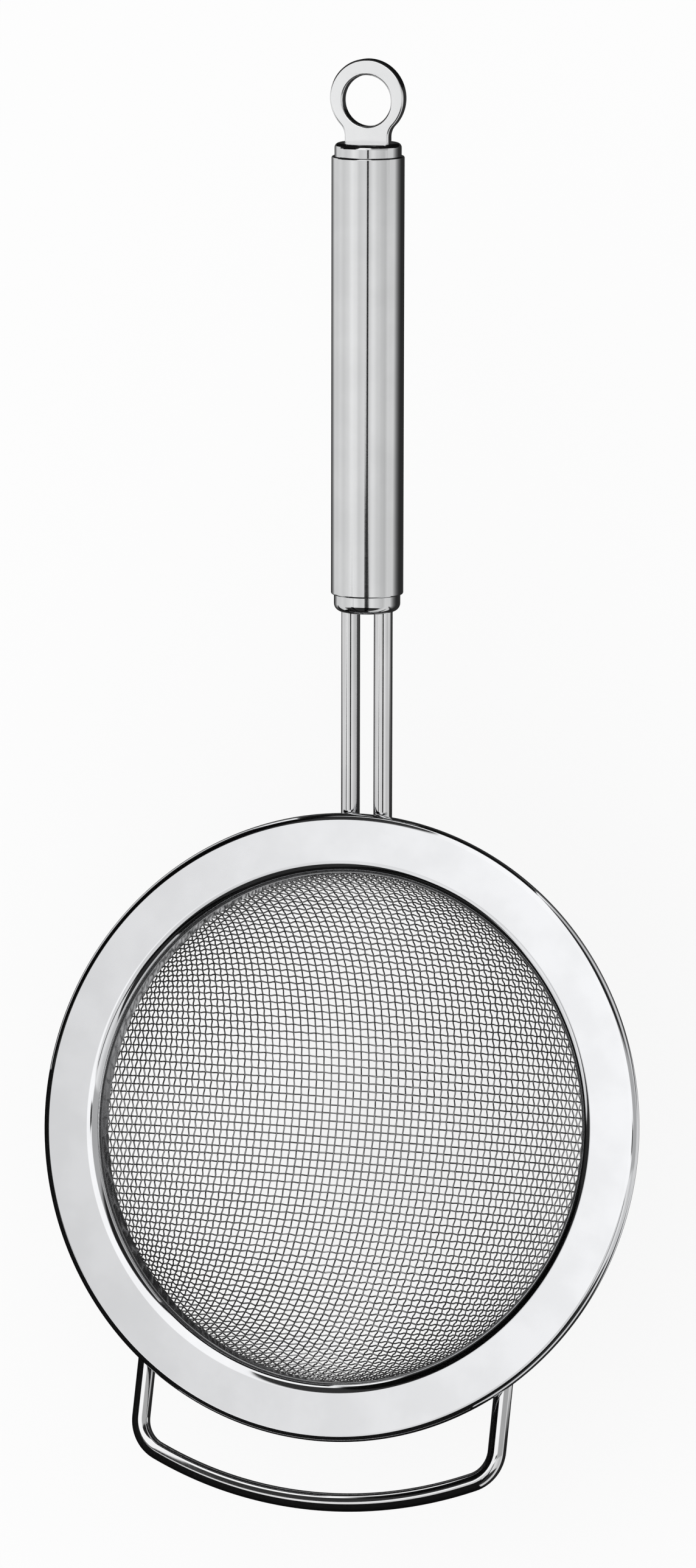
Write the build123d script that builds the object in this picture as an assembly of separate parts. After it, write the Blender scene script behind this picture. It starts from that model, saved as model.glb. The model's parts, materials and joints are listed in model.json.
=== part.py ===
from build123d import *
import math
import os

# A round strainer: a woven-wire bowl in a flanged rim, a tube handle on two rods, and a rest bow.
# The origin is the centre of the rim in the plane of its top face. +Y points along the handle and +Z up.
# All lengths are in millimetres and all angles in degrees.

# Rim: one pressed sheet with a flat face, a curled outer edge and a collar.
# The face's width is from its inner edge to the rim's outside.
rim_diameter = 160.0
curl_diameter = 3.5
rim_sheet = 0.7
face_width = 12.8
collar_bend_radius = 2.4
collar_depth = 8.0

# Clamp band and the pressed hem of the cloth between it and the collar
band_sheet = 0.7
band_depth = 10.4
hem_height = 3.0
hem_thickness = 1.15
hem_grip_share = 0.4
hem_sides = 60
seat_gap = 0.05

# Wire cloth: the strands kept here are every second wire of the real cloth
wire_thickness = 0.4
warp_pitch = 2.0
weft_pitch = 2.13
wires_per_strand = 2
bowl_centre_depth = 7.0
strand_sag = 0.56
largest_sag_share = 0.5
fewest_facets = 4
strand_sides = 3

# Rest bow opposite the handle: its overhang is how far it reaches past the rim, before it is
# lifted about the place where it touches the curl
bow_wire = 4.7
bow_width = 96.2
bow_overhang = 15.4
bow_crossbar_radius = 108.0
bow_corner_radius = 9.0
bow_rise = 5.0

# Handle: tube, caps, rods and eyelet, on one line that rises from the rim
handle_rise = 13.0
tube_diameter = 18.4
tube_wall = 0.7
tube_length = 111.2
rod_visible_length = 54.5
rod_diameter = 4.8
rod_spacing = 8.75
rod_insert = 16.0
cap_wall = 1.0
cap_insert = 9.0
rod_cap_proud = 4.4
rod_cap_edge = 2.0
ring_cap_proud = 3.3
ring_cap_edge = 1.2
tube_end_edge = 0.3
eyelet_radius = 9.75
eyelet_hole_radius = 6.4
eyelet_hole_drop = 0.7
eyelet_thickness = 3.1
eyelet_edge = 0.5
eyelet_height = 11.25
neck_width = 11.6
neck_fillet = 4.1
tang_insert = 7.0

# One overrun for every cut
overrun = 2.0

# Places that follow from the sizes above
rim_radius = rim_diameter / 2
curl_radius = curl_diameter / 2
curl_centre_radius = rim_radius - curl_radius
face_inner_radius = rim_radius - face_width
bow_reach = rim_radius + bow_overhang
collar_inner_radius = face_inner_radius - collar_bend_radius
collar_outer_radius = collar_inner_radius + rim_sheet
hem_inner_radius = collar_outer_radius + seat_gap
hem_outer_radius = hem_inner_radius + hem_thickness
band_inner_radius = hem_outer_radius + seat_gap
band_outer_radius = band_inner_radius + band_sheet

# A three-sided strand has the section area of the round wire
round_area = math.pi * wire_thickness ** 2 / 4
wire_corner = math.sqrt(2 * round_area / strand_sides / math.sin(2 * math.pi / strand_sides))
wire_flat = wire_corner * math.cos(math.pi / strand_sides)
warp_radius = hem_outer_radius - wire_corner - seat_gap
weft_radius = warp_radius - strand_sag - wire_corner - wire_flat - seat_gap
rod_radius = rod_diameter / 2
bow_radius = bow_wire / 2
tube_radius = tube_diameter / 2
cap_radius = tube_radius - tube_wall - seat_gap
tube_start = rod_visible_length + rod_cap_proud
tube_end = tube_start + tube_length
ring_cap_face = tube_end + ring_cap_proud


def revolve_profile(edges):
    """Turns a closed outline of the XZ plane once about the bowl's axis."""
    return revolve(make_face(Wire(edges)), axis=Axis.Z)


def make_rim_flange():
    """The pressed rim: collar, bend, flat face and a curl that ends under the face."""
    bend_x = face_inner_radius
    bend_z = -collar_bend_radius
    under_bend = collar_bend_radius - rim_sheet
    curl_inside = curl_radius - rim_sheet
    diagonal = math.sqrt(2) / 2

    def point(x, z):
        return Vector(x, 0, z)

    collar_foot_in = point(collar_inner_radius, -collar_depth)
    collar_foot_out = point(collar_outer_radius, -collar_depth)
    bend_in_start = point(collar_inner_radius, bend_z)
    bend_in_mid = point(bend_x - collar_bend_radius * diagonal, bend_z + collar_bend_radius * diagonal)
    face_start = point(bend_x, 0)
    curl_top = point(curl_centre_radius, 0)
    curl_mid = point(curl_centre_radius + curl_radius * diagonal, -curl_radius - curl_radius * diagonal)
    curl_end_out = point(curl_centre_radius - curl_radius, -curl_radius)
    curl_end_in = point(curl_centre_radius - curl_inside, -curl_radius)
    curl_in_mid = point(curl_centre_radius + curl_inside * diagonal, -curl_radius - curl_inside * diagonal)
    curl_in_top = point(curl_centre_radius, -rim_sheet)
    under_start = point(bend_x, -rim_sheet)
    bend_out_mid = point(bend_x - under_bend * diagonal, bend_z + under_bend * diagonal)
    bend_out_end = point(collar_outer_radius, bend_z)
    return revolve_profile([
        Line(collar_foot_out, collar_foot_in),
        Line(collar_foot_in, bend_in_start),
        ThreePointArc(bend_in_start, bend_in_mid, face_start),
        Line(face_start, curl_top),
        ThreePointArc(curl_top, curl_mid, curl_end_out),
        Line(curl_end_out, curl_end_in),
        ThreePointArc(curl_end_in, curl_in_mid, curl_in_top),
        Line(curl_in_top, under_start),
        ThreePointArc(under_start, bend_out_mid, bend_out_end),
        Line(bend_out_end, collar_foot_out),
    ])


def hoop(inner_radius, outer_radius, top, bottom):
    """A plain ring about the bowl's axis between two heights."""
    height = top - bottom
    level = (top + bottom) / 2
    body = Cylinder(outer_radius, height) - Cylinder(inner_radius, height + overrun)
    return Pos(0, 0, level) * body.solid()


def make_clamp_band():
    """The band that traps the hem of the cloth against the collar."""
    return hoop(band_inner_radius, band_outer_radius, -rim_sheet - 2 * seat_gap, -band_depth)


def strand_offsets(radius, pitch, top):
    """Distances of one family's strands from the middle, evenly spaced along the bowl's arc.

    The outermost strands stay half a pitch inside the arc that lies below the top.
    """
    step = wires_per_strand * pitch / radius
    drop = max(-top - bowl_centre_depth, 0)
    half_arc = math.acos(drop / radius) - pitch / radius / 2
    count = int((half_arc - step / 2) / step)
    return [radius * math.sin((index + 0.5) * step) for index in range(-count - 1, count + 1)]


def make_strand(radius, offset, top):
    """One wire in a plane across the bowl: three-sided, faceted along its arc, upright above the centre."""
    span = math.sqrt(radius * radius - offset * offset)
    drop = -top - bowl_centre_depth
    start = math.asin(max(drop, 0) / span)
    turn = 2 * math.acos(1 - min(strand_sag / span, largest_sag_share))
    steps = max(fewest_facets, math.ceil((math.pi - 2 * start) / turn))
    step = (math.pi - 2 * start) / steps
    angles = [start + index * step for index in range(steps + 1)]
    route = [
        Vector(offset, span * math.cos(angle), -bowl_centre_depth - span * math.sin(angle))
        for angle in angles
    ]
    if drop < 0:
        route = [Vector(offset, span, top)] + route + [Vector(offset, -span, top)]
    along = (route[1] - route[0]).normalized()
    outward = Vector(1, 0, 0).cross(along)
    section = Plane(origin=route[0], x_dir=outward, z_dir=along) * RegularPolygon(wire_corner, strand_sides)
    return sweep(section, path=Wire.make_polygon(route, close=False), transition=Transition.RIGHT)


def make_warp():
    """The wires that run toward the handle, joined by the pressed hem."""
    hem_top = -collar_bend_radius - seat_gap
    hem_bottom = hem_top - hem_height
    flat_share = math.cos(math.pi / hem_sides)
    ring = RegularPolygon(hem_outer_radius, hem_sides)
    ring -= RegularPolygon(hem_inner_radius / flat_share, hem_sides)
    hem = (Pos(0, 0, hem_bottom) * extrude(ring, hem_height)).solid()
    top = hem_bottom + hem_height * hem_grip_share
    strands = [
        make_strand(warp_radius, offset, top)
        for offset in strand_offsets(warp_radius, warp_pitch, top)
    ]
    return hem.fuse(*strands)


def make_weft():
    """The wires across them, inside the warp, ending under the collar's edge."""
    top = -collar_depth - seat_gap
    strands = [
        Rot(0, 0, 90) * make_strand(weft_radius, offset, top)
        for offset in strand_offsets(weft_radius, weft_pitch, top)
    ]
    return Compound(children=strands)


def make_bow():
    """The rest bow: straight legs under the curl, round corners and an arched crossbar, lifted a little."""
    level = -curl_diameter - seat_gap - bow_radius
    leg_x = bow_width / 2
    arch_y = bow_crossbar_radius - bow_reach
    corner_x = leg_x - bow_corner_radius
    reach = bow_crossbar_radius - bow_corner_radius
    corner_y = arch_y - math.sqrt(reach * reach - corner_x * corner_x)
    root_y = -math.sqrt(band_outer_radius * band_outer_radius - leg_x * leg_x)
    touch_y = -math.sqrt(curl_centre_radius * curl_centre_radius - leg_x * leg_x)
    out_x = corner_x / reach
    out_y = (corner_y - arch_y) / reach
    mid_x = out_x + 1
    mid_y = out_y
    mid_length = math.hypot(mid_x, mid_y)

    def at(x, y):
        return Vector(x, y, level)

    def corner(side):
        leg_end = at(side * leg_x, corner_y)
        middle = at(
            side * (corner_x + bow_corner_radius * mid_x / mid_length),
            corner_y + bow_corner_radius * mid_y / mid_length,
        )
        bar_end = at(side * (corner_x + bow_corner_radius * out_x), corner_y + bow_corner_radius * out_y)
        return leg_end, middle, bar_end

    right_leg, right_mid, right_bar = corner(1)
    left_leg, left_mid, left_bar = corner(-1)
    start = at(leg_x, root_y + bow_wire)
    path = Wire([
        Line(start, right_leg),
        ThreePointArc(right_leg, right_mid, right_bar),
        ThreePointArc(right_bar, at(0, -bow_reach), left_bar),
        ThreePointArc(left_bar, left_mid, left_leg),
        Line(left_leg, at(-leg_x, root_y + bow_wire)),
    ])
    section = Plane(origin=start, z_dir=Vector(0, -1, 0)) * Circle(bow_radius)
    hinge = Axis((0, touch_y, level), (1, 0, 0))
    wire = sweep(section, path=path).rotate(hinge, -bow_rise)
    return (wire - Cylinder(band_outer_radius + seat_gap, 2 * band_depth + bow_wire)).solid()


def on_handle(shape):
    """Moves a shape from the handle's own frame, where +Y is its axis and 0 is at the curl."""
    drop = curl_radius + (curl_radius + rod_radius + seat_gap) / math.cos(math.radians(handle_rise))
    return Pos(0, curl_centre_radius, -drop) * Rot(handle_rise, 0, 0) * shape


def bar_along_handle(radius, start, end, x=0):
    """A round bar along the handle's axis."""
    return Pos(x, (start + end) / 2, 0) * Rot(90, 0, 0) * Cylinder(radius, end - start)


def make_rod(side):
    """One rod, from its cope on the clamp band to its end inside the tube."""
    start = -(curl_centre_radius - band_outer_radius) - rod_diameter
    end = rod_visible_length + rod_insert
    rod = on_handle(bar_along_handle(rod_radius, start, end, side * rod_spacing / 2))
    return (rod - Cylinder(band_outer_radius + seat_gap, 2 * band_depth + 2 * rod_diameter)).solid()


def make_tube():
    """The handle tube with its broken end edges."""
    bore = bar_along_handle(tube_radius - tube_wall, tube_start - overrun, tube_end + overrun)
    bar = bar_along_handle(tube_radius, tube_start, tube_end)
    bar = chamfer(bar.edges().filter_by(GeomType.CIRCLE), tube_end_edge)
    return on_handle(bar - bore)


def make_cup(face, mouth, edge):
    """A drawn cup about the handle's axis, closed and rounded at one end and open at the other."""
    way = 1 if mouth > face else -1
    inner_radius = cap_radius - cap_wall
    depth = abs(mouth - face)
    floor = max(cap_wall, edge - cap_wall)
    diagonal = math.sqrt(2) / 2

    def at(x, depth_in):
        return Vector(x, face + way * depth_in, 0)

    rounded = at(cap_radius - edge + edge * diagonal, edge - edge * diagonal)
    outline = Wire([
        Line(at(0, 0), at(cap_radius - edge, 0)),
        ThreePointArc(at(cap_radius - edge, 0), rounded, at(cap_radius, edge)),
        Line(at(cap_radius, edge), at(cap_radius, depth)),
        Line(at(cap_radius, depth), at(inner_radius, depth)),
        Line(at(inner_radius, depth), at(inner_radius, floor)),
        Line(at(inner_radius, floor), at(0, floor)),
        Line(at(0, floor), at(0, 0)),
    ])
    return revolve(make_face(outline), axis=Axis.Y)


def make_rod_end_cap():
    """The cup at the rods, with a hole for each rod."""
    cup = make_cup(rod_visible_length, tube_start + cap_insert, rod_cap_edge)
    for side in (-1, 1):
        cup -= bar_along_handle(
            rod_radius + seat_gap,
            rod_visible_length - overrun,
            rod_visible_length + rod_cap_edge + overrun,
            side * rod_spacing / 2,
        )
    return on_handle(cup)


def make_ring_end_cap():
    """The cup at the eyelet, with a slot for its tang."""
    cup = make_cup(ring_cap_face, tube_end - cap_insert, ring_cap_edge)
    slot = Box(neck_width + 2 * seat_gap, 2 * ring_cap_edge + overrun, eyelet_thickness + 2 * seat_gap)
    return on_handle(cup - Pos(0, ring_cap_face, 0) * slot)


def make_hanging_ring():
    """The flat eyelet: a ring, a filleted neck and a tang that reaches into the cap."""
    centre_y = ring_cap_face + eyelet_height
    tang_y = ring_cap_face - tang_insert
    neck = Pos(0, (tang_y + centre_y) / 2) * Rectangle(neck_width, centre_y - tang_y)
    outline = Pos(0, centre_y) * Circle(eyelet_radius) + neck
    throat_y = centre_y - math.sqrt(eyelet_radius ** 2 - (neck_width / 2) ** 2)
    throats = [
        corner for corner in outline.vertices()
        if abs(corner.Y - throat_y) < seat_gap and abs(abs(corner.X) - neck_width / 2) < seat_gap
    ]
    outline = fillet(throats, neck_fillet)
    outline -= Pos(0, centre_y - eyelet_hole_drop) * Circle(eyelet_hole_radius)
    plate = extrude(outline, eyelet_thickness / 2, both=True)
    level = eyelet_thickness / 2
    rims = [edge for edge in plate.edges() if abs(abs(edge.center().Z) - level) < seat_gap]
    rims = [edge for edge in rims if edge.center().Y > tang_y + seat_gap]
    return on_handle(chamfer(rims, eyelet_edge).solid())


parts = {
    "rim_flange": make_rim_flange(),
    "clamp_band": make_clamp_band(),
    "mesh_warp_wires": make_warp(),
    "mesh_weft_wires": make_weft(),
    "rest_bow": make_bow(),
    "left_rod": make_rod(-1),
    "right_rod": make_rod(1),
    "handle_tube": make_tube(),
    "rod_end_cap": make_rod_end_cap(),
    "ring_end_cap": make_ring_end_cap(),
    "hanging_ring": make_hanging_ring(),
}

os.makedirs("parts", exist_ok=True)
for name, shape in parts.items():
    export_step(shape, "parts/" + name + ".step")
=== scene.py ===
"""A woven-wire bowl strainer with a tube handle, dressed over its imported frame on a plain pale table."""

import json
import logging
import math
from dataclasses import dataclass
from enum import Enum

import bpy
from mathutils import Matrix, Vector


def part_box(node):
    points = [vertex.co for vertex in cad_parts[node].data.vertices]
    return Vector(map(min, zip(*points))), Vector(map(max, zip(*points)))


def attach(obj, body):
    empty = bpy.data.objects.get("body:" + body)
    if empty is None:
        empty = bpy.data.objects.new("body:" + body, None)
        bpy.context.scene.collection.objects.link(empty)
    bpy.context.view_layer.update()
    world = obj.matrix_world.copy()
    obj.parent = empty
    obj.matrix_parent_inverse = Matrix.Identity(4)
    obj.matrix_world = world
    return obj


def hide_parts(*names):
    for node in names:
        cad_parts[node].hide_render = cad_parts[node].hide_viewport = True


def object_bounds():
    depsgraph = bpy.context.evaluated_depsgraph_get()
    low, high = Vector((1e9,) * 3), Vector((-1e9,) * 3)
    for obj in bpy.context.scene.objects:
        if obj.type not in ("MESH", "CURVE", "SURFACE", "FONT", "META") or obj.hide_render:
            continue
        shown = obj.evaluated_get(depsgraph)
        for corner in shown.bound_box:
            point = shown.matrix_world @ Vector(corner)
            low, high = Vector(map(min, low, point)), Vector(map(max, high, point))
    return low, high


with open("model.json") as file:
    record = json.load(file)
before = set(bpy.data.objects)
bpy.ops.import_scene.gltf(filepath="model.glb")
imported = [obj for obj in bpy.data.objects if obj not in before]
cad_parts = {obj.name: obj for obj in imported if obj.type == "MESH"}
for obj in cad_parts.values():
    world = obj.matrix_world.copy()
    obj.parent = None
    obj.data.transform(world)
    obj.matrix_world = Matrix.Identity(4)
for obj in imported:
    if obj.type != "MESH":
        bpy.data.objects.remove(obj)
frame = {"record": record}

CAD_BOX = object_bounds()
MM = 0.001
LOG = logging.getLogger("strainer")
WHITE = (1, 1, 1, 1)
SAME_PLACE = 1e-7
POLE = 0.01 * MM
NO_SIZE = 1e-18

Socket = bpy.types.NodeSocket
Ring = tuple[float, float]
Span = tuple[float, float]


class Grain(Enum):
    """The direction of the fine marks that polishing leaves."""

    ROUND_THE_BOWL = "round_the_bowl"
    ROUND_THE_HANDLE = "round_the_handle"
    DRAWN = "drawn"
    TUMBLED = "tumbled"


class Slot(Enum):
    """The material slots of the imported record."""

    RIM = "rim_sheet"
    CLOTH = "wire_cloth"
    WIRE = "bright_wire"
    TUBE = "satin_tube"
    EYELET = "eyelet_plate"


@dataclass(frozen=True)
class HandleLine:
    """The straight line that rods, caps, tube and eyelet share.

    The hole's place and axis come from the record, and the other places are counted along the line
    from the rim's curl.
    """

    hole_from_curl: float = 183.95 * MM

    @property
    def mount(self) -> dict:
        """The record's bore mount in the eyelet."""
        return next(m for m in frame["record"]["mounts"] if m["name"] == "hang_hole")

    @property
    def rise(self) -> float:
        """The angle between the line and the plane of the rim."""
        axis = Vector(self.mount["axis"])
        return math.atan2(-axis.y, axis.z)

    @property
    def placement(self) -> Matrix:
        """Moves a piece made on the line's own frame, +Y along the handle, to its place."""
        along = Vector((0, math.cos(self.rise), math.sin(self.rise)))
        start = Vector(self.mount["pos_m"]) - along * self.hole_from_curl
        return Matrix.Translation(start) @ Matrix.Rotation(self.rise, 4, "X")

    @property
    def lathe_placement(self) -> Matrix:
        """Moves a piece turned about +Z to the line, with its heights along the handle."""
        return self.placement @ Matrix.Rotation(-math.pi / 2, 4, "X")


class NodeTree:
    """A short way to lay out shader nodes."""

    def __init__(self, tree: bpy.types.NodeTree) -> None:
        """Starts from an empty tree.

        Args:
            tree: The node tree of a material or world.
        """
        self.tree = tree
        tree.nodes.clear()

    def add(self, kind: str, settings: dict | None = None, **inputs: object) -> bpy.types.Node:
        """Adds a node, sets it up and feeds its inputs.

        Args:
            kind: The node's type name.
            settings: Properties of the node itself.
            inputs: Socket values, or output sockets to link, by name with spaces as underscores.

        Returns:
            The new node.
        """
        node = self.tree.nodes.new(kind)
        for name, value in (settings or {}).items():
            setattr(node, name, value)
        for name, value in inputs.items():
            key = int(name[5:]) if name.startswith("slot_") else name.replace("_", " ")
            socket = node.inputs[key]
            if isinstance(value, bpy.types.NodeSocket):
                self.tree.links.new(value, socket)
            else:
                socket.default_value = value
        return node

    def sum(self, kind: str, first: object, second: object = 0.0) -> Socket:
        """A Math node's result.

        Args:
            kind: The operation.
            first: A value or socket.
            second: A value or socket.

        Returns:
            The output socket.
        """
        return self.add("ShaderNodeMath", {"operation": kind}, slot_0=first, slot_1=second).outputs[0]

    def fold(self, kind: str, *values: object) -> Socket:
        """One operation over several values, the first with the second, then with the third and so on.

        Args:
            kind: The operation.
            values: Two or more values or sockets.

        Returns:
            The output socket.
        """
        result = values[0]
        for value in values[1:]:
            result = self.sum(kind, result, value)
        return result

    def ease(self, value: object, low: float, high: float, start: float = 0.0, end: float = 1.0) -> Socket:
        """A smooth step from start to end while the value goes from low to high.

        Args:
            value: The socket to read.
            low: Where the step starts.
            high: Where it ends.
            start: The result below low.
            end: The result above high.

        Returns:
            The output socket.
        """
        node = self.add(
            "ShaderNodeMapRange", {"interpolation_type": "SMOOTHSTEP"},
            Value=value, From_Min=low, From_Max=high, To_Min=start, To_Max=end,
        )
        return node.outputs["Result"]


@dataclass(frozen=True)
class SteelFinish:
    """A finish of stainless steel: its tint, its gloss and the marks that polishing left."""

    name: str
    tint: tuple[float, float, float]
    gloss: float
    grain: Grain
    grain_size: float
    grain_depth: float
    haze: float
    wave_depth: float = 0.0
    wave_scale: float = 45.0
    cloud_scale: float = 70.0
    cloud_share: float = 0.4
    cloud_edge: Span = (0.35, 0.65)
    cloud_shade: float = 0.94
    ring_stretch: float = 0.06
    drawn_stretch: float = 0.03

    def grain_height(self, nodes: NodeTree, place: Socket) -> Socket:
        """The fine marks as a height.

        Args:
            nodes: The tree to add to.
            place: Object coordinates.

        Returns:
            The height socket.
        """
        fine = 1.0 / self.grain_size
        if self.grain is Grain.ROUND_THE_BOWL:
            parts = nodes.add("ShaderNodeSeparateXYZ", Vector=place)
            flat = nodes.add("ShaderNodeCombineXYZ", X=parts.outputs["X"], Y=parts.outputs["Y"])
            radius = nodes.add("ShaderNodeVectorMath", {"operation": "LENGTH"}, Vector=flat.outputs[0])
            turn = nodes.sum("ARCTAN2", parts.outputs["Y"], parts.outputs["X"])
            rings = nodes.sum("MULTIPLY", radius.outputs["Value"], fine)
            level = nodes.sum("MULTIPLY", parts.outputs["Z"], fine)
            where = nodes.add("ShaderNodeCombineXYZ", X=rings, Y=turn, Z=level).outputs[0]
            scale = 1.0
        elif self.grain is Grain.ROUND_THE_HANDLE:
            turned = nodes.add("ShaderNodeMapping", Vector=place)
            turned.inputs["Rotation"].default_value = (-HandleLine().rise, 0.0, 0.0)
            turned.inputs["Scale"].default_value = (self.ring_stretch, 1.0, self.ring_stretch)
            where, scale = turned.outputs["Vector"], fine
        elif self.grain is Grain.DRAWN:
            turned = nodes.add("ShaderNodeMapping", Vector=place)
            turned.inputs["Rotation"].default_value = (-HandleLine().rise, 0.0, 0.0)
            turned.inputs["Scale"].default_value = (1.0, self.drawn_stretch, 1.0)
            where, scale = turned.outputs["Vector"], fine
        else:
            where, scale = place, fine
        return nodes.add("ShaderNodeTexNoise", Vector=where, Scale=scale, Detail=3.0).outputs["Fac"]

    def material(self) -> bpy.types.Material:
        """Builds the finish as shader nodes, or gives the one already built.

        Returns:
            The material.
        """
        found = bpy.data.materials.get(self.name)
        if found:
            return found
        material = bpy.data.materials.new(self.name)
        material.use_nodes = True
        nodes = NodeTree(material.node_tree)
        place = nodes.add("ShaderNodeTexCoord").outputs["Object"]
        grain = self.grain_height(nodes, place)
        cloud = nodes.add(
            "ShaderNodeTexNoise", Vector=place, Scale=self.cloud_scale, Detail=4.0
        ).outputs["Fac"]
        mixed = nodes.sum(
            "ADD", nodes.sum("MULTIPLY", grain, 1 - self.cloud_share),
            nodes.sum("MULTIPLY", cloud, self.cloud_share),
        )
        rough = nodes.ease(mixed, *self.cloud_edge, self.gloss - self.haze, self.gloss + self.haze)
        dark = tuple(channel * self.cloud_shade for channel in self.tint)
        shade = nodes.add(
            "ShaderNodeMix", {"data_type": "RGBA"},
            Factor=nodes.ease(cloud, *self.cloud_edge), slot_6=(*dark, 1.0), slot_7=(*self.tint, 1.0),
        )
        bump = nodes.add(
            "ShaderNodeBump", Height=grain, Strength=0.5, Distance=self.grain_depth,
        )
        if self.wave_depth:
            wave = nodes.add(
                "ShaderNodeTexNoise", Vector=place, Scale=self.wave_scale, Detail=1.0
            ).outputs["Fac"]
            bump = nodes.add(
                "ShaderNodeBump", Height=wave, Strength=1.0, Distance=self.wave_depth,
                Normal=bump.outputs["Normal"],
            )
        steel = nodes.add(
            "ShaderNodeBsdfPrincipled", Base_Color=shade.outputs[2], Metallic=1.0,
            Roughness=rough, Normal=bump.outputs["Normal"],
        )
        nodes.add("ShaderNodeOutputMaterial", Surface=steel.outputs["BSDF"])
        material.diffuse_color = (*self.tint, 1.0)
        return material


POLISHED_RIM = SteelFinish("polished_rim_steel", (0.795, 0.80, 0.815), 0.05, Grain.ROUND_THE_BOWL,
                           0.35 * MM, 0.00005 * MM, 0.008, 0.0008 * MM)
BRIGHT_WIRE = SteelFinish("drawn_wire_steel", (0.78, 0.78, 0.785), 0.06, Grain.DRAWN,
                          0.5 * MM, 0.0002 * MM, 0.012)
# Painted shade: the cloth wires and the hem get a much darker tint of the same stainless steel, so the mesh
# inside the bowl renders darker.
CLOTH_WIRE = SteelFinish("woven_wire_steel", (0.47, 0.47, 0.475), 0.09, Grain.TUMBLED,
                         0.4 * MM, 0.001 * MM, 0.02)
SATIN_TUBE = SteelFinish("brushed_tube_steel", (0.77, 0.775, 0.78), 0.07, Grain.ROUND_THE_HANDLE,
                         0.12 * MM, 0.0001 * MM, 0.015)
EYELET_STEEL = SteelFinish("tumbled_eyelet_steel", (0.88, 0.885, 0.89), 0.16, Grain.TUMBLED,
                           0.25 * MM, 0.0006 * MM, 0.03)


def clear_bench() -> None:
    """Leaves edit mode and deselects every object."""
    if bpy.context.mode != "OBJECT":
        bpy.ops.object.mode_set(mode="OBJECT")
    bpy.ops.object.select_all(action="DESELECT")


def take(piece: bpy.types.Object) -> None:
    """Makes one piece the selected and active one."""
    clear_bench()
    piece.select_set(True)
    bpy.context.view_layer.objects.active = piece


def seal(piece: bpy.types.Object, reach: float = 0.002 * MM) -> None:
    """Merges the seams of a closed piece and turns its faces outwards.

    Args:
        piece: The piece.
        reach: Corners nearer than this become one.
    """
    take(piece)
    bpy.ops.object.mode_set(mode="EDIT")
    bpy.ops.mesh.select_all(action="SELECT")
    bpy.ops.mesh.remove_doubles(threshold=reach)
    bpy.ops.mesh.normals_make_consistent(inside=False)
    bpy.ops.object.mode_set(mode="OBJECT")


def settle(piece: bpy.types.Object, placement: Matrix) -> None:
    """Puts a piece in its place and leaves that place in its mesh.

    Args:
        piece: The piece.
        placement: Where it goes.
    """
    take(piece)
    piece.matrix_world = placement
    bpy.ops.object.transform_apply(location=True, rotation=True, scale=True)


def smooth(piece: bpy.types.Object, hard_angle: float = 40.0) -> None:
    """Smooths all but the hard edges, with flat faces kept flat up to their rounded rims.

    Args:
        piece: The piece.
        hard_angle: Edges that turn by more than this, in degrees, stay hard.
    """
    take(piece)
    bpy.ops.object.shade_smooth_by_angle(angle=math.radians(hard_angle))
    weigh = piece.modifiers.new("flat_faces", "WEIGHTED_NORMAL")
    weigh.keep_sharp = True
    bpy.ops.object.modifier_apply(modifier=weigh.name)


def hand_over(piece: bpy.types.Object, finish: SteelFinish, slot: Slot, *nodes: str) -> None:
    """Dresses a finished piece, hangs it on the frame and reports it.

    Args:
        piece: The piece.
        finish: Its finish.
        slot: Its slot in the record. Not used.
        nodes: The CAD nodes that it stands for.
    """
    piece.data.materials.clear()
    piece.data.materials.append(finish.material())
    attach(piece, "root")
    if nodes:
        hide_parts(*nodes)
    faces = sum(len(face.vertices) - 2 for face in piece.data.polygons)
    LOG.info("%s: %d triangles, in %s", piece.name, faces, finish.name)


def arc(centre: Ring, radius: float, start: float, end: float, steps: int) -> list[Ring]:
    """Rings along a round part of an outline.

    Args:
        centre: The arc's centre, as a distance from the axis and a height.
        radius: Its radius.
        start: Its first angle in degrees, from the outward direction.
        end: Its last angle.
        steps: How many steps it takes.

    Returns:
        The rings, first and last included.
    """
    angles = [math.radians(start + (end - start) * step / steps) for step in range(steps + 1)]
    return [(centre[0] + radius * math.cos(a), centre[1] + radius * math.sin(a)) for a in angles]


def turn(name: str, rings: list[Ring], sides: int) -> bpy.types.Object:
    """Turns an outline about the Z axis, one ring after another, as on a lathe.

    Args:
        name: The piece's name.
        rings: Distances from the axis and heights. The last may repeat the first, and a distance of
            zero closes an end.
        sides: How many sides a ring has.

    Returns:
        The closed piece.
    """
    clear_bench()
    rings = rings[:1] + [ring for last, ring in zip(rings, rings[1:]) if math.dist(ring, last) > SAME_PLACE]
    radius, height = rings[0]
    start = max(radius, POLE)
    bpy.ops.mesh.primitive_circle_add(vertices=sides, radius=start, location=(0, 0, height))
    piece = bpy.context.active_object
    piece.name = name
    piece.data.name = name
    bpy.ops.object.transform_apply(location=True)
    bpy.ops.object.mode_set(mode="EDIT")
    bpy.ops.mesh.select_all(action="SELECT")
    if radius == 0:
        bpy.ops.mesh.extrude_region_move()
        bpy.ops.mesh.merge(type="CENTER")
        bpy.ops.mesh.select_all(action="DESELECT")
        bpy.ops.object.mode_set(mode="OBJECT")
        for vertex in piece.data.vertices:
            vertex.select = vertex.co.xy.length > start / 2
        bpy.ops.object.mode_set(mode="EDIT")
    now = start
    for radius, ring_height in rings[1:]:
        bpy.ops.mesh.extrude_region_move(TRANSFORM_OT_translate={"value": (0, 0, ring_height - height)})
        height = ring_height
        if radius == 0:
            bpy.ops.mesh.merge(type="CENTER")
            break
        share = radius / now
        bpy.ops.transform.resize(value=(share, share, 1), center_override=(0, 0, height))
        now = radius
    seal(piece)
    return piece


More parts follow.
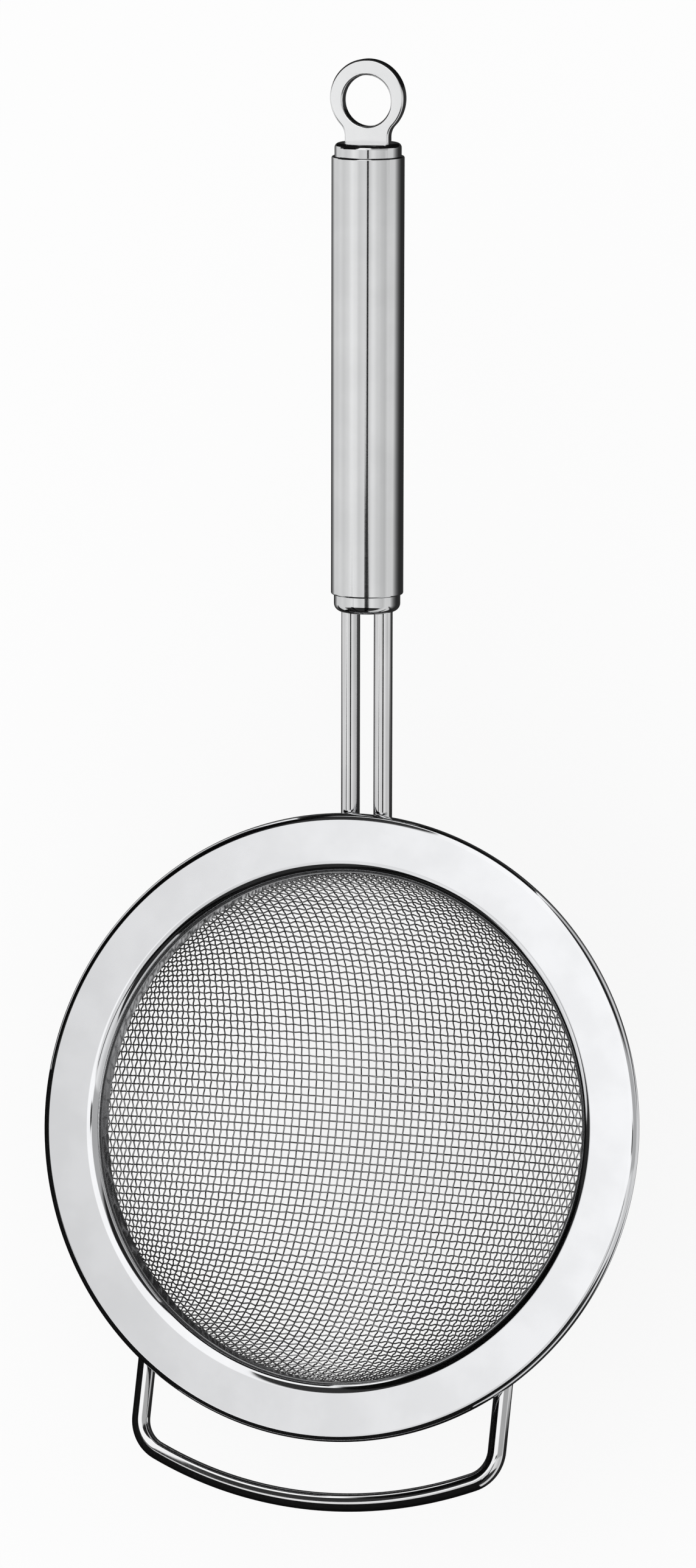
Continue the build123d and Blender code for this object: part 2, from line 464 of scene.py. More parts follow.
@dataclass
class Rim:
    """The pressed rim: a collar, a round bend, the wide flat face and a curled outer edge."""

    sheet: float = 0.7 * MM
    curl: float = 1.75 * MM
    bend: float = 2.9 * MM
    collar_inner: float = 64.8 * MM
    collar_depth: float = 8.0 * MM
    band_inner: float = 66.75 * MM
    band_outer: float = 67.45 * MM
    band_top: float = -0.8 * MM
    band_bottom: float = -10.4 * MM
    edge: float = 0.15 * MM
    sides: int = 256
    bend_steps: int = 14
    curl_steps: int = 40
    inner_curl_steps: int = 24
    inner_bend_steps: int = 10

    @property
    def radius(self) -> float:
        """The rim's outer radius."""
        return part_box("rim_flange")[1].x

    @property
    def face_inner(self) -> float:
        """Where the flat face meets the bend."""
        return self.collar_inner + self.bend

    def rounded(self, corners: list[Ring]) -> list[Ring]:
        """A closed outline with its corners rounded.

        Args:
            corners: The corners in order.

        Returns:
            The rings, closed.
        """
        rings = []
        for index, corner in enumerate(corners):
            here = Vector(corner)
            back = (Vector(corners[index - 1]) - here).normalized()
            on = (Vector(corners[(index + 1) % len(corners)]) - here).normalized()
            for share in (0.0, 0.25, 0.5, 0.75, 1.0):
                spot = here + back * self.edge * (1 - share) ** 2 + on * self.edge * share ** 2
                rings.append((spot.x, spot.y))
        return rings + rings[:1]

    def make_flange(self) -> bpy.types.Object:
        """Turns the pressed sheet, from the collar's foot over the face and round the curl."""
        foot, inner, outer = -self.collar_depth, self.collar_inner, self.collar_inner + self.sheet
        bend_at = (self.face_inner, -self.bend)
        curl_at = (self.radius - self.curl, -self.curl)
        near = self.edge
        face = [
            (self.face_inner + near, 0.0), ((self.face_inner + curl_at[0]) / 2, 0.0), (curl_at[0] - near, 0.0)
        ]
        under = [(curl_at[0] - near, -self.sheet), (self.face_inner + near, -self.sheet)]
        rings = [(outer, foot + near), (outer - near, foot), (inner + near, foot), (inner, foot + near)]
        rings += [(inner, -self.bend - near)]
        rings += arc(bend_at, self.bend, 180, 90, self.bend_steps) + face
        rings += arc(curl_at, self.curl, 90, -180, self.curl_steps)
        rings += arc(curl_at, self.curl - self.sheet, -180, 90, self.inner_curl_steps) + under
        rings += arc(bend_at, self.bend - self.sheet, 90, 180, self.inner_bend_steps)
        rings += [(outer, -self.bend - near), (outer, foot + near)]
        return turn("pressed_rim", rings, self.sides)

    def make_band(self) -> bpy.types.Object:
        """Turns the band that clamps the cloth on the collar."""
        corners = [
            (self.band_inner, self.band_bottom), (self.band_outer, self.band_bottom),
            (self.band_outer, self.band_top), (self.band_inner, self.band_top),
        ]
        return turn("cloth_band", self.rounded(corners), self.sides)

    def build(self) -> None:
        """Makes and dresses the rim and its band."""
        flange = self.make_flange()
        smooth(flange)
        hand_over(flange, POLISHED_RIM, Slot.RIM, "rim_flange")
        band = self.make_band()
        smooth(band)
        hand_over(band, POLISHED_RIM, Slot.RIM, "clamp_band")


@dataclass
class WireCloth:
    """Plain-woven wire cloth pressed into a bowl.

    The two families of wires keep their spacing along each other, so their crossings lie on a net
    of equal steps over the round, and the squares lean into lozenges between the four quarters.
    """

    radius: float = 66.1 * MM
    centre_depth: float = 7.0 * MM
    across_step: float = 1.987 * MM
    along_step: float = 2.13 * MM
    wire: float = 0.4 * MM
    crimp: float = 0.2 * MM
    crimp_share: float = 0.22
    top: float = -4.6 * MM
    hem_inner: float = 65.55 * MM
    hem_outer: float = 66.70 * MM
    hem_top: float = -2.45 * MM
    hem_height: float = 3.0 * MM
    hem_sides: int = 192
    hem_steps: int = 8
    count: int = 62

    @property
    def centre(self) -> Vector:
        """The centre of the round."""
        return Vector((0, 0, -self.centre_depth))

    def next_crossing(self, corner: Vector, across: Vector, along: Vector) -> Vector | None:
        """The crossing opposite a corner of one lozenge.

        Args:
            corner: The corner, as a direction from the centre times the radius.
            across: The crossing one step across from it.
            along: The crossing one step along from it.

        Returns:
            The fourth crossing, or None where the wires can't reach it.
        """
        radius_squared = self.radius ** 2
        near_across = radius_squared - self.along_step ** 2 / 2
        near_along = radius_squared - self.across_step ** 2 / 2
        normal = across.cross(along)
        size = normal.length_squared
        if size < NO_SIZE:
            return None
        base = (near_across * along.cross(normal) + near_along * normal.cross(across)) / size
        rest = radius_squared - base.length_squared
        if rest <= 0:
            return None
        lift = normal * math.sqrt(rest / size)
        return max(base + lift, base - lift, key=lambda spot: (spot - corner).length)

    def quarter(self, way_x: int, way_y: int) -> dict[tuple[int, int], Vector]:
        """The crossings of one quarter of the bowl.

        Args:
            way_x: 1 or -1, the side along X.
            way_y: 1 or -1, the side along Y.

        Returns:
            Crossings by their counts across and along.
        """
        net = {}
        step_x, step_y = self.across_step / self.radius, self.along_step / self.radius
        for index in range(self.count):
            across, along = index * step_x, index * step_y
            net[index, 0] = self.radius * Vector((way_x * math.sin(across), 0, -math.cos(across)))
            net[0, index] = self.radius * Vector((0, way_y * math.sin(along), -math.cos(along)))
        for x in range(1, self.count):
            for y in range(1, self.count):
                known = [net.get(key) for key in ((x - 1, y - 1), (x, y - 1), (x - 1, y))]
                spot = None if None in known else self.next_crossing(*known)
                if spot is not None and spot.z < self.top + self.centre_depth + 2 * self.along_step:
                    net[x, y] = spot
        return {(way_x * x, way_y * y): spot for (x, y), spot in net.items()}

    def net(self) -> dict[tuple[int, int], Vector]:
        """All crossings of the bowl, by their counts across and along."""
        crossings = {}
        for way_x in (1, -1):
            for way_y in (1, -1):
                crossings.update(self.quarter(way_x, way_y))
        return crossings

    def wire_route(self, crossings: list[tuple[Vector, int]]) -> list[Vector]:
        """One wire through its crossings, over and under in turn.

        Args:
            crossings: The crossings in order, each with 1 where this wire passes outside and -1 inside.

        Returns:
            The points of the wire's line, cut at the top of the cloth.
        """
        points = []
        for (here, side), (there, next_side) in zip(crossings, crossings[1:]):
            for share, lift in ((self.crimp_share, side), (1 - self.crimp_share, next_side)):
                spot = here.lerp(there, share)
                spot = spot.normalized() * (self.radius + lift * self.crimp) + self.centre
                if spot.z < self.top:
                    points.append(spot)
        return points

    def family(self, net: dict[tuple[int, int], Vector], across: bool) -> list[list[Vector]]:
        """All wires of one family.

        Args:
            net: The crossings.
            across: True for the wires that run across the handle's line.

        Returns:
            A list of points for each wire.
        """
        rows: dict[int, list[tuple[int, Vector, int]]] = {}
        for (x, y), spot in net.items():
            row, place = (y, x) if across else (x, y)
            side = 1 if (x + y) % 2 == (0 if across else 1) else -1
            rows.setdefault(row, []).append((place, spot, side))
        routes = []
        for row in sorted(rows):
            line = sorted(rows[row], key=lambda item: item[0])
            route = self.wire_route([(spot, side) for _, spot, side in line])
            if len(route) > 3:
                routes.append(route)
        return routes

    def weave(self, name: str, routes: list[list[Vector]]) -> bpy.types.Object:
        """Makes one family of wires as a single mesh of round wires.

        Args:
            name: The piece's name.
            routes: The points of each wire.

        Returns:
            The piece.
        """
        clear_bench()
        curve = bpy.data.curves.new(name, "CURVE")
        curve.dimensions = "3D"
        curve.bevel_depth = self.wire / 2
        curve.bevel_resolution = 1
        curve.use_fill_caps = True
        for route in routes:
            spline = curve.splines.new("POLY")
            spline.points.add(len(route) - 1)
            spline.points.foreach_set("co", [value for point in route for value in (*point, 1.0)])
        piece = bpy.data.objects.new(name, curve)
        bpy.context.scene.collection.objects.link(piece)
        take(piece)
        bpy.ops.object.convert(target="MESH")
        piece = bpy.context.active_object
        bpy.ops.object.shade_smooth()
        return piece

    def make_hem(self) -> bpy.types.Object:
        """Turns the pressed hem that lies between collar and band."""
        low, high = self.hem_top - self.hem_height, self.hem_top
        middle, half = (self.hem_inner + self.hem_outer) / 2, (self.hem_outer - self.hem_inner) / 2
        rings = arc((middle, high - half), half, 0, 180, self.hem_steps)
        rings += arc((middle, low + half), half, 180, 360, self.hem_steps)
        return turn("cloth_hem", rings + rings[:1], self.hem_sides)

    def build(self) -> None:
        """Weaves and dresses the cloth and its hem."""
        net = self.net()
        LOG.info("cloth: %d crossings", len(net))
        along = self.weave("cloth_wires_along", self.family(net, across=False))
        hand_over(along, CLOTH_WIRE, Slot.CLOTH, "mesh_warp_wires")
        across = self.weave("cloth_wires_across", self.family(net, across=True))
        hand_over(across, CLOTH_WIRE, Slot.CLOTH, "mesh_weft_wires")
        hem = self.make_hem()
        smooth(hem)
        hand_over(hem, CLOTH_WIRE, Slot.CLOTH)


@dataclass
class RestBow:
    """The bent wire that rests on a pot's edge, opposite the handle.

    It is lifted a little, about the place where it touches the rim's curl.
    """

    wire: float = 2.35 * MM
    half_width: float = 48.1 * MM
    reach: float = 95.4 * MM
    bar_radius: float = 108.0 * MM
    corner: float = 9.0 * MM
    rise: float = math.radians(5.0)
    hinge: float = 78.25 * MM
    root: float = 66.9 * MM
    level: float = -5.9 * MM
    sides: int = 48
    corner_steps: int = 16
    bar_steps: int = 72

    def build(self) -> None:
        """Bends the wire from its right root over both corners and dresses it."""
        clear_bench()
        bar_y = self.bar_radius - self.reach
        inner = self.bar_radius - self.corner
        corner_x = self.half_width - self.corner
        corner_y = bar_y - math.sqrt(inner ** 2 - corner_x ** 2)
        lean = math.asin(corner_x / inner)
        root_y = -math.sqrt(self.root ** 2 - self.half_width ** 2)
        bpy.ops.mesh.primitive_circle_add(
            vertices=self.sides, radius=self.wire, fill_type="NGON",
            location=(self.half_width, root_y, self.level), rotation=(math.pi / 2, 0, 0),
        )
        piece = bpy.context.active_object
        piece.name = piece.data.name = "rest_wire"
        bpy.ops.object.transform_apply(location=True, rotation=True)
        bpy.ops.object.mode_set(mode="EDIT")
        bpy.ops.mesh.select_all(action="SELECT")
        bpy.ops.mesh.extrude_region_move(TRANSFORM_OT_translate={"value": (0, corner_y - root_y, 0)})
        bends = (
            ((corner_x, corner_y), math.pi / 2 - lean, self.corner_steps),
            ((0.0, bar_y), 2 * lean, self.bar_steps),
            ((-corner_x, corner_y), math.pi / 2 - lean, self.corner_steps),
        )
        for (x, y), angle, steps in bends:
            bpy.ops.mesh.spin(steps=steps, angle=angle, center=(x, y, self.level), axis=(0, 0, 1))
        bpy.ops.mesh.extrude_region_move(TRANSFORM_OT_translate={"value": (0, root_y - corner_y, 0)})
        bpy.ops.object.mode_set(mode="OBJECT")
        hinge = Vector((0, -math.sqrt(self.hinge ** 2 - self.half_width ** 2), self.level))
        lift = Matrix.Translation(hinge) @ Matrix.Rotation(-self.rise, 4, "X") @ Matrix.Translation(-hinge)
        settle(piece, lift)
        seal(piece)
        smooth(piece)
        hand_over(piece, BRIGHT_WIRE, Slot.WIRE, "rest_bow")


@dataclass
class Rods:
    """The two round rods between the rim and the grip."""

    radius: float = 2.4 * MM
    spacing: float = 8.75 * MM
    root: float = 67.0 * MM
    end: float = 66.0 * MM
    sides: int = 48

    def build(self) -> None:
        """Draws each rod from its root on the band to its end in the grip."""
        line = HandleLine()
        for side, node in ((-1, "left_rod"), (1, "right_rod")):
            clear_bench()
            end = line.placement @ Vector((side * self.spacing / 2, self.end, 0))
            length = (end.y - self.root) / math.cos(line.rise)
            start = end - length * Vector((0, math.cos(line.rise), math.sin(line.rise)))
            bpy.ops.mesh.primitive_circle_add(
                vertices=self.sides, radius=self.radius, fill_type="NGON",
                location=start, rotation=(math.pi / 2, 0, 0),
            )
            piece = bpy.context.active_object
            piece.name = piece.data.name = node.replace("_", "_handle_")
            bpy.ops.object.transform_apply(location=True, rotation=True)
            bpy.ops.object.mode_set(mode="EDIT")
            bpy.ops.mesh.select_all(action="SELECT")
            bpy.ops.transform.resize(value=(1, 1, 1 / math.cos(line.rise)), center_override=start)
            bpy.ops.mesh.extrude_region_move(TRANSFORM_OT_translate={"value": end - start})
            bpy.ops.object.mode_set(mode="OBJECT")
            seal(piece)
            smooth(piece)
            hand_over(piece, BRIGHT_WIRE, Slot.WIRE, node)


@dataclass
class Grip:
    """The tube handle and the two drawn caps that close it."""

    tube: float = 9.2 * MM
    wall: float = 0.7 * MM
    start: float = 58.9 * MM
    end: float = 170.1 * MM
    tube_edge: float = 0.45 * MM
    cap: float = 8.45 * MM
    cap_insert: float = 9.0 * MM
    rod_cap_face: float = 54.5 * MM
    rod_cap_edge: float = 2.0 * MM
    ring_cap_face: float = 173.4 * MM
    ring_cap_edge: float = 1.2 * MM
    clear: float = 0.1 * MM
    sides: int = 160
    tube_edge_steps: int = 6
    cap_edge_steps: int = 8

    def make_tube(self) -> bpy.types.Object:
        """Turns the tube with its rounded ends."""
        edge, bore = self.tube_edge, self.tube - self.wall
        out = self.tube - edge
        rings = arc((out, self.start + edge), edge, 270, 360, self.tube_edge_steps)
        rings += arc((out, self.end - edge), edge, 0, 90, self.tube_edge_steps)
        rings += [(bore, self.end), (bore, self.start), rings[0]]
        return turn("grip_tube", rings, self.sides)

    def make_cap(self, name: str, face: float, mouth: float, edge: float) -> bpy.types.Object:
        """Turns one cap.

        Args:
            name: The piece's name.
            face: Where its closed face is along the handle.
            mouth: Where its wall ends inside the tube.
            edge: The radius of its rounded edge.

        Returns:
            The piece.
        """
        way = 1 if mouth > face else -1
        flat = self.cap - edge
        rings = [(0.0, face), (flat - self.clear, face)]
        for step in range(self.cap_edge_steps + 1):
            angle = math.radians(90 * step / self.cap_edge_steps)
            rings.append((flat + edge * math.sin(angle), face + way * edge * (1 - math.cos(angle))))
        rings += [(self.cap, face + way * (edge + self.clear)), (self.cap, mouth), (0.0, mouth)]
        return turn(name, rings, self.sides)

    def build(self) -> None:
        """Makes and dresses the tube and both caps."""
        place = HandleLine().lathe_placement
        pieces = (
            (self.make_tube(), "handle_tube"),
            (self.make_cap("rod_cap", self.rod_cap_face, self.start + self.cap_insert, self.rod_cap_edge),
             "rod_end_cap"),
            (self.make_cap("ring_cap", self.ring_cap_face, self.end - self.cap_insert, self.ring_cap_edge),
             "ring_end_cap"),
        )
        for piece, node in pieces:
            settle(piece, place)
            seal(piece)
            smooth(piece)
            hand_over(piece, SATIN_TUBE, Slot.TUBE, node)


@dataclass
class Eyelet:
    """The flat hanging eyelet with its round hole and the neck that enters the cap."""

    radius: float = 9.75 * MM
    hole: float = 6.4 * MM
    hole_drop: float = 0.7 * MM
    thickness: float = 3.1 * MM
    edge: float = 0.5 * MM
    centre: float = 184.65 * MM
    half_neck: float = 5.8 * MM
    fillet: float = 4.1 * MM
    tang: float = 166.4 * MM
    clear: float = 0.5 * MM
    edge_steps: int = 4
    fillet_steps: int = 12
    ring_steps: int = 48
    hole_sides: int = 96

    def outline(self) -> list[Vector]:
        """The outer edge on the handle's own plane, from the tang round the ring and back."""
        side = self.half_neck + self.fillet
        down = math.sqrt((self.radius + self.fillet) ** 2 - side ** 2)
        lean = math.atan2(side, down)
        foot = Vector((side, self.centre - down))
        neck_end = self.centre - down - self.clear
        right = [Vector((self.half_neck, self.tang)), Vector((self.half_neck, neck_end))]
        for step in range(self.fillet_steps + 1):
            angle = math.pi - (math.pi / 2 - lean) * step / self.fillet_steps
            right.append(foot + self.fillet * Vector((math.cos(angle), math.sin(angle))))
        for step in range(1, self.ring_steps + 1):
            angle = -(math.pi / 2 - lean) + (math.pi - lean) * step / self.ring_steps
            right.append(Vector((self.radius * math.cos(angle), self.centre + self.radius * math.sin(angle))))
        return right + [Vector((-spot.x, spot.y)) for spot in reversed(right[:-1])]

    def build(self) -> None:
        """Cuts the plate from its flat outline, with softly rounded edges, and dresses it."""
        clear_bench()
        curve = bpy.data.curves.new("hanging_eyelet", "CURVE")
        curve.dimensions = "2D"
        curve.fill_mode = "BOTH"
        curve.extrude = self.thickness / 2 - self.edge
        curve.bevel_depth = self.edge
        curve.bevel_resolution = self.edge_steps
        curve.offset = -self.edge
        hole_at = Vector((0, self.centre - self.hole_drop))
        turns = [2 * math.pi * step / self.hole_sides for step in range(self.hole_sides)]
        hole = [hole_at + self.hole * Vector((math.cos(angle), math.sin(angle))) for angle in turns]
        for points in (self.outline(), hole):
            spline = curve.splines.new("POLY")
            spline.points.add(len(points) - 1)
            corners = [value for spot in points for value in (spot.x, spot.y, 0.0, 1.0)]
            spline.points.foreach_set("co", corners)
            spline.use_cyclic_u = True
        piece = bpy.data.objects.new("hanging_eyelet", curve)
        bpy.context.scene.collection.objects.link(piece)
        take(piece)
        bpy.ops.object.convert(target="MESH")
        piece = bpy.context.active_object
        settle(piece, HandleLine().placement)
        seal(piece)
        smooth(piece)
        hand_over(piece, EYELET_STEEL, Slot.EYELET, "hanging_ring")


@dataclass
class Table:
    """The pale table, which the steel reflects dark round the object, as among black cards."""

    size: float = 14.0
    gap: float = 0.3 * MM
    tone: float = 0.20
    glow: float = 0.79
    mirrored_level: float = 0.78
    beside_edge: Span = (60 * MM, 290 * MM)
    beside_dark: float = 0.03
    around_edge: Span = (360 * MM, 430 * MM)
    around_dark: float = 0.02
    wedge_x: Span = (90 * MM, 110 * MM)
    wedge_ends: tuple[Span, Span] = ((-80 * MM, -60 * MM), (60 * MM, 30 * MM))
    wedge_level: float = 0.75
    under_edge: Span = (64 * MM, 56 * MM)
    under_x: Span = (-10 * MM, -25 * MM)
    under_y: Span = (-6 * MM, 8 * MM)
    under_level: float = 0.55
    handle_edge: Span = (60 * MM, 100 * MM)

    def mirrored(self, nodes: NodeTree) -> bpy.types.NodeSocket:
        """The table as the steel reflects it.

        It is pale far out, beside the handle, in a wedge on the right, and under the left half of the bowl.

        Args:
            nodes: The table's tree.

        Returns:
            The light's level.
        """
        place = nodes.add("ShaderNodeTexCoord").outputs["Object"]
        parts = nodes.add("ShaderNodeSeparateXYZ", Vector=place)
        x, y = parts.outputs["X"], parts.outputs["Y"]
        away = nodes.add("ShaderNodeVectorMath", {"operation": "LENGTH"}, Vector=place).outputs["Value"]
        beside = nodes.ease(
            nodes.sum("ABSOLUTE", x), *self.beside_edge, self.beside_dark, self.mirrored_level
        )
        around = nodes.ease(away, *self.around_edge, self.around_dark, self.mirrored_level)
        wedge = nodes.fold(
            "MULTIPLY", *(nodes.ease(y, *end) for end in self.wedge_ends), nodes.ease(x, *self.wedge_x),
            self.wedge_level,
        )
        under = nodes.fold(
            "MULTIPLY", nodes.ease(away, *self.under_edge), nodes.ease(x, *self.under_x),
            nodes.ease(y, *self.under_y), self.under_level,
        )
        around = nodes.fold("MAXIMUM", around, wedge, under)
        handle = nodes.ease(y, *self.handle_edge)
        return nodes.add("ShaderNodeMix", Factor=handle, slot_2=around, slot_3=beside).outputs[0]

    def build(self) -> None:
        """Lays the table under the bowl."""
        clear_bench()
        bottom = CAD_BOX[0][2] - self.gap
        bpy.ops.mesh.primitive_plane_add(size=self.size, location=(0, 0, bottom))
        top = bpy.context.active_object
        top.name = "table_top"
        material = bpy.data.materials.new("pale_table")
        material.use_nodes = True
        material.cycles.emission_sampling = "NONE"
        nodes = NodeTree(material.node_tree)
        seen = nodes.add("ShaderNodeLightPath").outputs
        shown = nodes.sum("MAXIMUM", seen["Is Camera Ray"], seen["Is Transmission Ray"])
        pale = nodes.sum("MULTIPLY", shown, self.glow)
        dim = nodes.sum("MULTIPLY", seen["Is Glossy Ray"], self.mirrored(nodes))
        glow = nodes.add("ShaderNodeEmission", Color=WHITE, Strength=nodes.sum("MAXIMUM", pale, dim))
        tone = nodes.sum("MULTIPLY", nodes.sum("SUBTRACT", 1.0, seen["Is Glossy Ray"]), self.tone)
        matt = nodes.add("ShaderNodeBsdfDiffuse", Color=tone)
        both = nodes.add("ShaderNodeAddShader", slot_0=matt.outputs[0], slot_1=glow.outputs[0])
        nodes.add("ShaderNodeOutputMaterial", Surface=both.outputs[0])
        top.data.materials.append(material)


@dataclass
class Cards:
    """Two black cards: a bent one round the bowl's near left side, and a flat one behind the handle's end."""

    black: float = 0.01
    bent_radius: float = 135 * MM
    bent_top: float = 105 * MM
    bent_arc: Span = (170, 300)
    bent_sides: int = 72
    end_away: float = 300 * MM
    end_top: float = 120 * MM
    end_width: float = 300 * MM

    @property
    def floor(self) -> float:
        """The height at which both cards stand."""
        return CAD_BOX[0][2]

    def blacken(self, card: bpy.types.Object, name: str) -> None:
        """Makes a sheet a black card that only the steel's reflections see.

        Args:
            card: The sheet.
            name: Its name.
        """
        card.name = card.data.name = name
        material = bpy.data.materials.get("black_card")
        if material is None:
            material = bpy.data.materials.new("black_card")
            material.use_nodes = True
            nodes = NodeTree(material.node_tree)
            paint = nodes.add("ShaderNodeBsdfDiffuse", Color=(self.black, self.black, self.black, 1))
            nodes.add("ShaderNodeOutputMaterial", Surface=paint.outputs[0])
        card.data.materials.append(material)
        for kind in ("camera", "diffuse", "transmission", "shadow", "volume_scatter"):
            setattr(card, "visible_" + kind, False)

    def bend(self) -> None:
        """Stands the bent card."""
        clear_bench()
        height = self.bent_top - self.floor
        bpy.ops.mesh.primitive_cylinder_add(
            vertices=self.bent_sides, radius=self.bent_radius, depth=height, end_fill_type="NOTHING",
            location=(0, 0, self.floor + height / 2),
        )
        card = bpy.context.active_object
        bpy.ops.object.transform_apply(location=True)
        bpy.ops.object.mode_set(mode="EDIT")
        bpy.ops.mesh.select_all(action="DESELECT")
        bpy.ops.object.mode_set(mode="OBJECT")
        first, last = self.bent_arc
        for vertex in card.data.vertices:
            angle = math.degrees(math.atan2(vertex.co.y, vertex.co.x)) % 360
            vertex.select = not first <= angle <= last
        bpy.ops.object.mode_set(mode="EDIT")
        bpy.ops.mesh.delete(type="VERT")
        bpy.ops.object.mode_set(mode="OBJECT")
        self.blacken(card, "bent_card")

    def build(self) -> None:
        """Stands both cards."""
        self.bend()
        clear_bench()
        height = self.end_top - self.floor
        bpy.ops.mesh.primitive_plane_add(
            size=1.0, location=(0, self.end_away, self.floor + height / 2), rotation=(math.pi / 2, 0, 0)
        )
        card = bpy.context.active_object
        card.scale = (self.end_width, height, 1)
        bpy.ops.object.transform_apply(location=True, rotation=True, scale=True)
        self.blacken(card, "end_card")


@dataclass
class Sky:
    """The light all round: an even one, and soft panels with dark places that only the steel reflects.

    A direction is read by its parts x, y and z, from -1 to 1, and by its slope, x for each unit of z.
    The spans say where soft edges start and end.
    """

    even_level: float = 0.98
    dark_level: float = 0.03
    flattest: float = 0.05
    overhead_level: float = 0.80
    overhead_gain: float = 0.38
    overhead_lean: float = 0.35
    overhead_edge: Span = (-0.40, -0.27)
    side_edge: Span = (0.40, 0.52)
    side_level: float = 0.40
    row_edge: Span = (-0.075, -0.11)
    panel_peak: float = 1.25
    panels: tuple[Span, ...] = (
        (-90, 0.80), (-80, 0.84), (-65, 0.77), (-50, 0.84), (-33, 1.02), (-20, 0.94), (-8, 0.77),
        (10, 0.84), (24, 0.77), (37, 0.93), (55, 0.76), (70, 0.66), (77, 0.62), (90, 0.80),
    )
    gap_slope: float = 0.355
    gap_edge: Span = (0.05, 0.07)
    gap_gain: float = 0.10
    gap_wider: tuple[Span, Span] = ((-0.347, -0.355), (-0.12, -0.08))
    gap_break: tuple[Span, Span] = ((-0.13, -0.11), (-0.02, -0.035))
    gap_end: Span = (0.02, 0.05)
    slit_slope: float = -0.74
    slit_edge: Span = (0.13, 0.18)
    slit_end: Span = (-0.352, -0.347)
    stripe_lean: float = 0.3
    stripe_edge: Span = (-0.355, -0.32)
    stripe_ends: tuple[Span, Span] = ((0.07, 0.03), (0.76, 0.80))
    left_edge: Span = (-0.43, -0.375)
    left_end: Span = (-0.06, -0.09)
    near_edge: Span = (-0.46, -0.415)
    far_edge: Span = (0.97, 0.94)
    corner_x: Span = (0.42, 0.34)
    corner_y: Span = (0.45, 0.28)
    low_edge: Span = (0.30, 0.22)

    def row_of_panels(self, nodes: NodeTree, x: Socket, z: Socket) -> Socket:
        """The light of a row of soft panels, side by side, that runs from left to right over the handle.

        Args:
            nodes: The world's tree.
            x: The sideways part of a direction.
            z: Its upward part.

        Returns:
            The light's level.
        """
        place = nodes.add("ShaderNodeMapRange", Value=nodes.sum("ARCTAN2", x, z),
                          From_Min=-math.pi / 2, From_Max=math.pi / 2).outputs["Result"]
        row = nodes.add("ShaderNodeValToRGB", Fac=place)
        row.color_ramp.interpolation = "EASE"
        stops = row.color_ramp.elements
        for index, (angle, light) in enumerate(self.panels):
            share = (angle + 90) / 180
            stop = stops[index] if index < 2 else stops.new(share)
            stop.position = share
            stop.color = (*(light / self.panel_peak,) * 3, 1.0)
        return nodes.sum("MULTIPLY", row.outputs["Color"], self.panel_peak)

    def panel_light(self, nodes: NodeTree, x: Socket, y: Socket, z: Socket) -> Socket:
        """The panels without the dark places: one overhead, and towards the viewer the row over the handle.

        Args:
            nodes: The world's tree.
            x: The sideways part of a direction.
            y: Its part along the handle.
            z: Its upward part.

        Returns:
            The light's level.
        """
        lean = nodes.sum("ADD", x, nodes.sum("MULTIPLY", y, self.overhead_lean))
        gain = nodes.sum("MULTIPLY", nodes.ease(lean, *self.overhead_edge), self.overhead_gain)
        overhead = nodes.sum(
            "MULTIPLY", nodes.sum("ADD", self.overhead_level, gain),
            nodes.ease(x, *self.side_edge, 1.0, self.side_level),
        )
        row = self.row_of_panels(nodes, x, z)
        share = nodes.ease(y, *self.row_edge)
        return nodes.add("ShaderNodeMix", Factor=share, slot_2=overhead, slot_3=row).outputs[0]

    def open_places(self, nodes: NodeTree, x: Socket, y: Socket, z: Socket) -> list[Socket]:
        """For each dark place a value that is 0 in it and 1 round it.

        The gap and the slit draw the lines along rods and tube, the others the outlines of rim and bow.

        Args:
            nodes: The world's tree.
            x: The sideways part of a direction.
            y: Its part along the handle.
            z: Its upward part.

        Returns:
            The values.
        """
        slope = nodes.sum("DIVIDE", x, nodes.sum("MAXIMUM", z, self.flattest))
        off_gap = nodes.sum("ABSOLUTE", nodes.sum("SUBTRACT", slope, self.gap_slope))
        wider = nodes.fold("ADD", *(nodes.ease(y, *edge) for edge in self.gap_wider))
        off_gap = nodes.sum("SUBTRACT", off_gap, nodes.sum("MULTIPLY", wider, self.gap_gain))
        broken = nodes.fold("MULTIPLY", *(nodes.ease(y, *edge) for edge in self.gap_break))
        gap = nodes.fold(
            "MAXIMUM", nodes.ease(off_gap, *self.gap_edge), nodes.ease(y, *self.gap_end), broken
        )
        off_slit = nodes.sum("ABSOLUTE", nodes.sum("SUBTRACT", slope, self.slit_slope))
        slit = nodes.fold("MAXIMUM", nodes.ease(off_slit, *self.slit_edge), nodes.ease(y, *self.slit_end))
        slant = nodes.sum("SUBTRACT", x, nodes.sum("MULTIPLY", y, self.stripe_lean))
        stripe = nodes.fold(
            "MAXIMUM", *(nodes.ease(y, *end) for end in self.stripe_ends),
            nodes.ease(slant, *self.stripe_edge),
        )
        low = nodes.ease(z, *self.low_edge)
        left = nodes.fold("MAXIMUM", nodes.ease(x, *self.left_edge), nodes.ease(y, *self.left_end), low)
        near = nodes.fold("MAXIMUM", nodes.ease(y, *self.near_edge), low)
        far = nodes.fold("MAXIMUM", nodes.ease(y, *self.far_edge), low)
        corner = nodes.fold("MAXIMUM", nodes.ease(y, *self.corner_y), nodes.ease(x, *self.corner_x), low)
        return [gap, slit, left, near, stripe, far, corner]

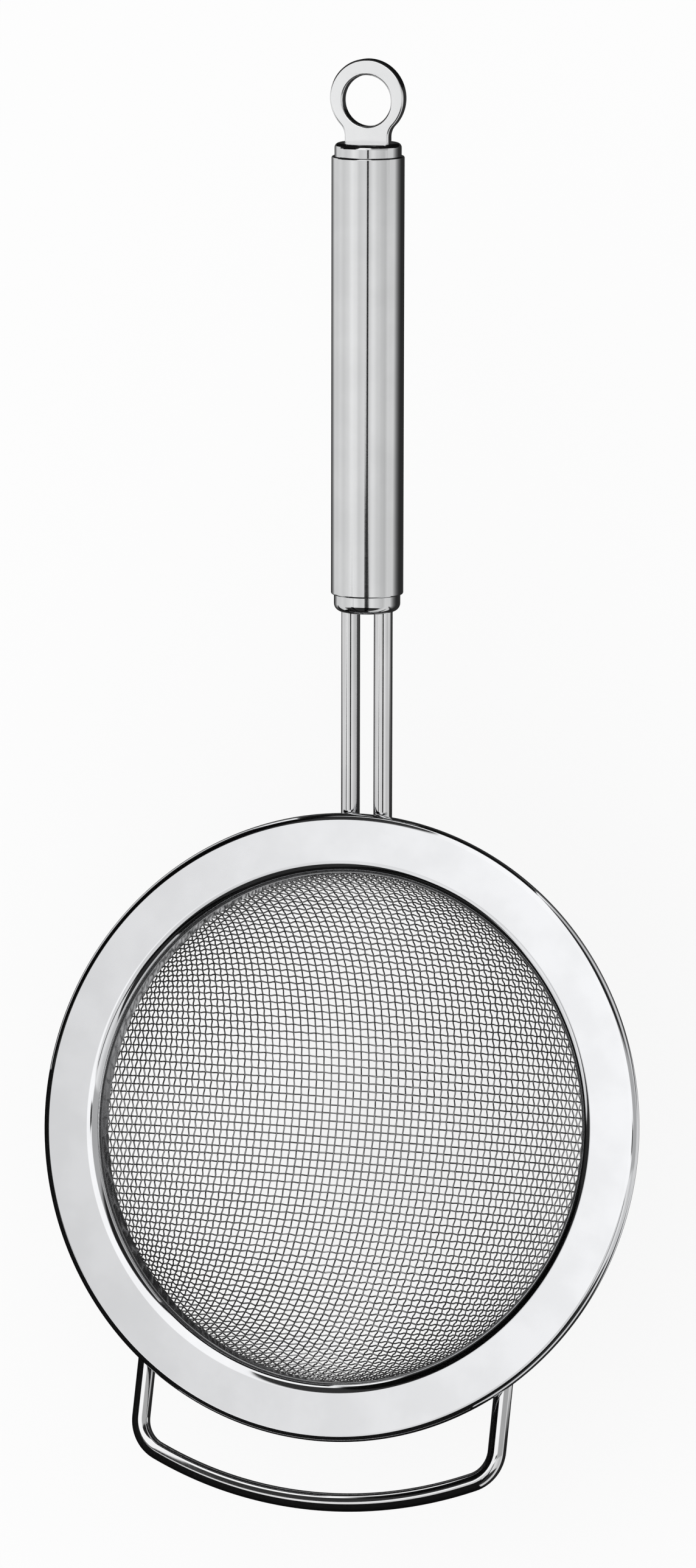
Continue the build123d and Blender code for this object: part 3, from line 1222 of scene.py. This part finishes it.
    def build(self) -> None:
        """Surrounds the object with the light."""
        world = bpy.data.worlds.new("studio")
        bpy.context.scene.world = world
        world.use_nodes = True
        nodes = NodeTree(world.node_tree)
        way = nodes.add("ShaderNodeTexCoord").outputs["Generated"]
        parts = nodes.add("ShaderNodeSeparateXYZ", Vector=way).outputs
        direction = (parts["X"], parts["Y"], parts["Z"])
        level = self.panel_light(nodes, *direction)
        for place in self.open_places(nodes, *direction):
            level = nodes.sum("MULTIPLY", level, nodes.ease(place, 0.0, 1.0, self.dark_level, 1.0))
        mirrored = nodes.add("ShaderNodeLightPath").outputs["Is Glossy Ray"]
        panels = nodes.add("ShaderNodeBackground", Color=WHITE, Strength=level)
        even = nodes.add("ShaderNodeBackground", Color=WHITE, Strength=self.even_level)
        pick = nodes.add(
            "ShaderNodeMixShader", slot_0=mirrored, slot_1=even.outputs[0], slot_2=panels.outputs[0]
        )
        nodes.add("ShaderNodeOutputWorld", Surface=pick.outputs[0])


@dataclass
class Viewpoint:
    """The camera, where the photograph was taken from."""

    place: Vector = Vector((564.75, 33.28, 1647.1)) * MM
    picture_right: Vector = Vector((0.9433, 0.0765, -0.3230))
    toward_camera: Vector = Vector((0.32607, -0.03095, 0.94484))
    focal_share: float = 11233 / 2576
    sensor: float = 24.0
    nearest: float = 0.05

    def build(self) -> None:
        """Sets up the camera and how its picture is shown."""
        data = bpy.data.cameras.new("camera")
        data.sensor_fit = "VERTICAL"
        data.sensor_height = self.sensor
        data.lens = self.focal_share * self.sensor
        data.clip_start = self.nearest
        camera = bpy.data.objects.new("camera", data)
        bpy.context.scene.collection.objects.link(camera)
        back = self.toward_camera.normalized()
        right = (self.picture_right - self.picture_right.dot(back) * back).normalized()
        up = back.cross(right)
        turned = Matrix((right, up, back)).transposed().to_4x4()
        camera.matrix_world = Matrix.Translation(self.place) @ turned
        bpy.context.scene.camera = camera
        bpy.context.scene.view_settings.view_transform = "Standard"


def main() -> None:
    """Builds the strainer, piece by piece, then the table, the cards, the light and the camera."""
    logging.basicConfig(level=logging.INFO, format="%(name)s: %(message)s")
    for part in (
        Rim(), WireCloth(), RestBow(), Rods(), Grip(), Eyelet(), Table(), Cards(), Sky(), Viewpoint(),
    ):
        part.build()


if __name__ == "__main__":
    main()
